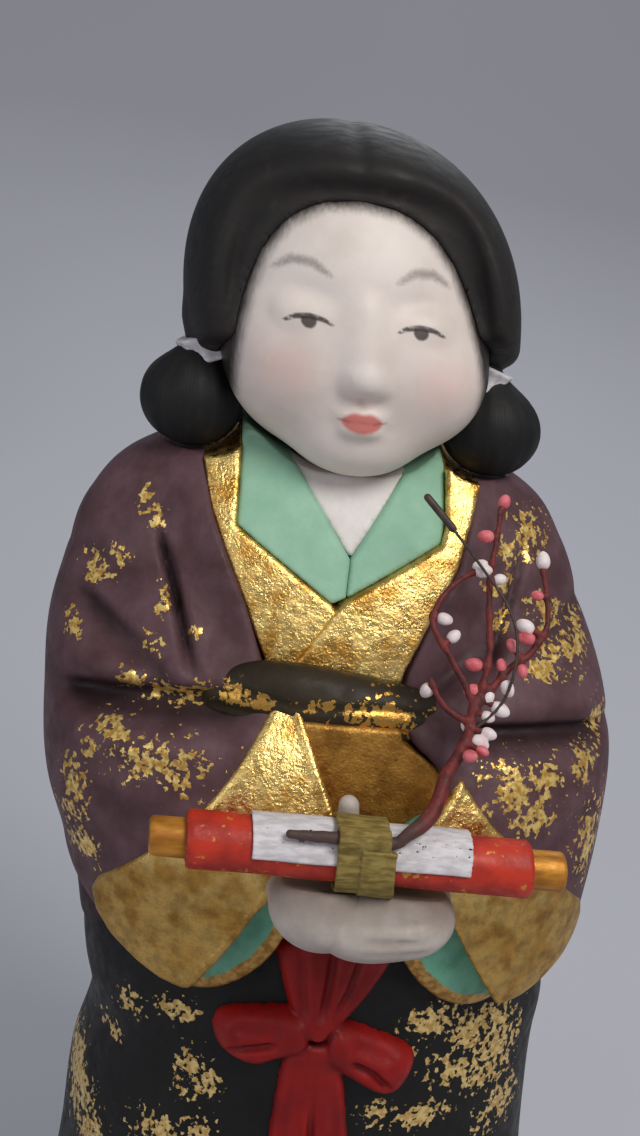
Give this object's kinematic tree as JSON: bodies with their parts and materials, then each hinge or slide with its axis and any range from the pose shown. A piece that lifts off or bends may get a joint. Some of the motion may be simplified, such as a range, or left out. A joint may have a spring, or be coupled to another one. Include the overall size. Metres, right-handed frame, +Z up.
{
  "type": "tenjin doll",
  "caption": "Standing painted clay court doll with side hair bunches and wide sleeves, a tied scroll lying on its joined hands, a wire plum branch and a head that turns and lifts off.",
  "frame": {"origin": "underside of the base plate, straight below the neck axis", "axes": "+Z up, the doll faces -Y, +X towards the doll's left hand"},
  "size_m": [0.0989, 0.1048, 0.225],
  "materials": {
    "black_clay": "matt black paint with worn gold leaf",
    "purple_clay": "matt dusty purple paint with gold flecks",
    "white_clay": "matt shell-white",
    "green_clay": "matt mint green",
    "gold_leaf": "gold leaf over clay",
    "sash_clay": "dark olive with gold flecks",
    "red_clay": "matt deep red",
    "hair_clay": "satin blue-black",
    "peg_wood": "bare wood",
    "rod_wood": "ochre gold paint",
    "roll_red": "vermilion with gold traces",
    "white_paper": "matt white paper",
    "band_paper": "olive gold paper",
    "stem_brown": "wire wrapped and painted dark red-brown",
    "wire_brown": "dark wire",
    "pink_clay": "matt pink"
  },
  "bodies": {
    "body": {"skirt_front": "black_clay", "skirt_back": "black_clay", "base_plate": "black_clay", "robe_front": "purple_clay", "robe_back": "purple_clay", "neck_socket": "peg_wood", "chest_insert": "white_clay", "inner_collar_left": "green_clay", "inner_collar_right": "green_clay", "lapel_left": "gold_leaf", "lapel_right": "gold_leaf", "robe_edge_left": "purple_clay", "robe_edge_right": "purple_clay", "collar_back": "purple_clay", "sash": "sash_clay", "front_panel": "gold_leaf", "upper_ribbon": "red_clay", "bow_knot": "red_clay", "sleeve_left": "purple_clay", "sleeve_border_left": "gold_leaf", "sleeve_lining_left": "green_clay", "hand_left": "white_clay", "bow_loop_left": "red_clay", "ribbon_tail_left": "red_clay", "sleeve_right": "purple_clay", "sleeve_border_right": "gold_leaf", "sleeve_lining_right": "green_clay", "hand_right": "white_clay", "bow_loop_right": "red_clay", "ribbon_tail_right": "red_clay"},
    "peg": {"neck_peg": "peg_wood"},
    "head": {"head": "white_clay", "hair_cap": "hair_clay", "hair_bunch_left": "hair_clay", "hair_tie_left": "white_paper", "hair_bunch_right": "hair_clay", "hair_tie_right": "white_paper"},
    "scroll": {"scroll_rod": "rod_wood", "scroll_roll": "roll_red", "scroll_wrapper": "white_paper", "scroll_band": "band_paper"},
    "branch": {"branch_stem": "stem_brown", "twig_upper": "stem_brown", "twig_left": "wire_brown", "twig_right": "wire_brown", "twig_spur": "wire_brown", "twig_wire": "wire_brown", "wire_sheath": "wire_brown", "bud_pink_top": "pink_clay", "bud_pink_upper": "pink_clay", "bud_white_upper": "white_clay", "bud_white_side": "white_clay", "bud_pink_middle": "pink_clay", "bud_white_left": "white_clay", "bud_grey_left": "white_clay", "bud_white_right": "white_clay", "bud_pink_right": "pink_clay", "bud_pink_fork": "pink_clay", "bud_white_low": "white_clay", "bud_pink_large": "pink_clay"}
  },
  "joints": [
    {"name": "head_lift", "type": "slide", "parent": "body", "child": "peg", "axis": [0, 0, 1], "range_m": [0, 0.03]},
    {"name": "head_turn", "type": "hinge", "parent": "peg", "child": "head", "pos_m": [0, 0, 0.16], "axis": [0, 0, 1], "range_deg": [-15, 15]},
    {"name": "scroll_lift", "type": "slide", "parent": "body", "child": "scroll", "axis": [0, -0.6, 0.8], "range_m": [0, 0.03]},
    {"name": "branch_pull", "type": "slide", "parent": "scroll", "child": "branch", "axis": [0.9988, 0, -0.0499], "range_m": [0, 0.018]}
  ]
}
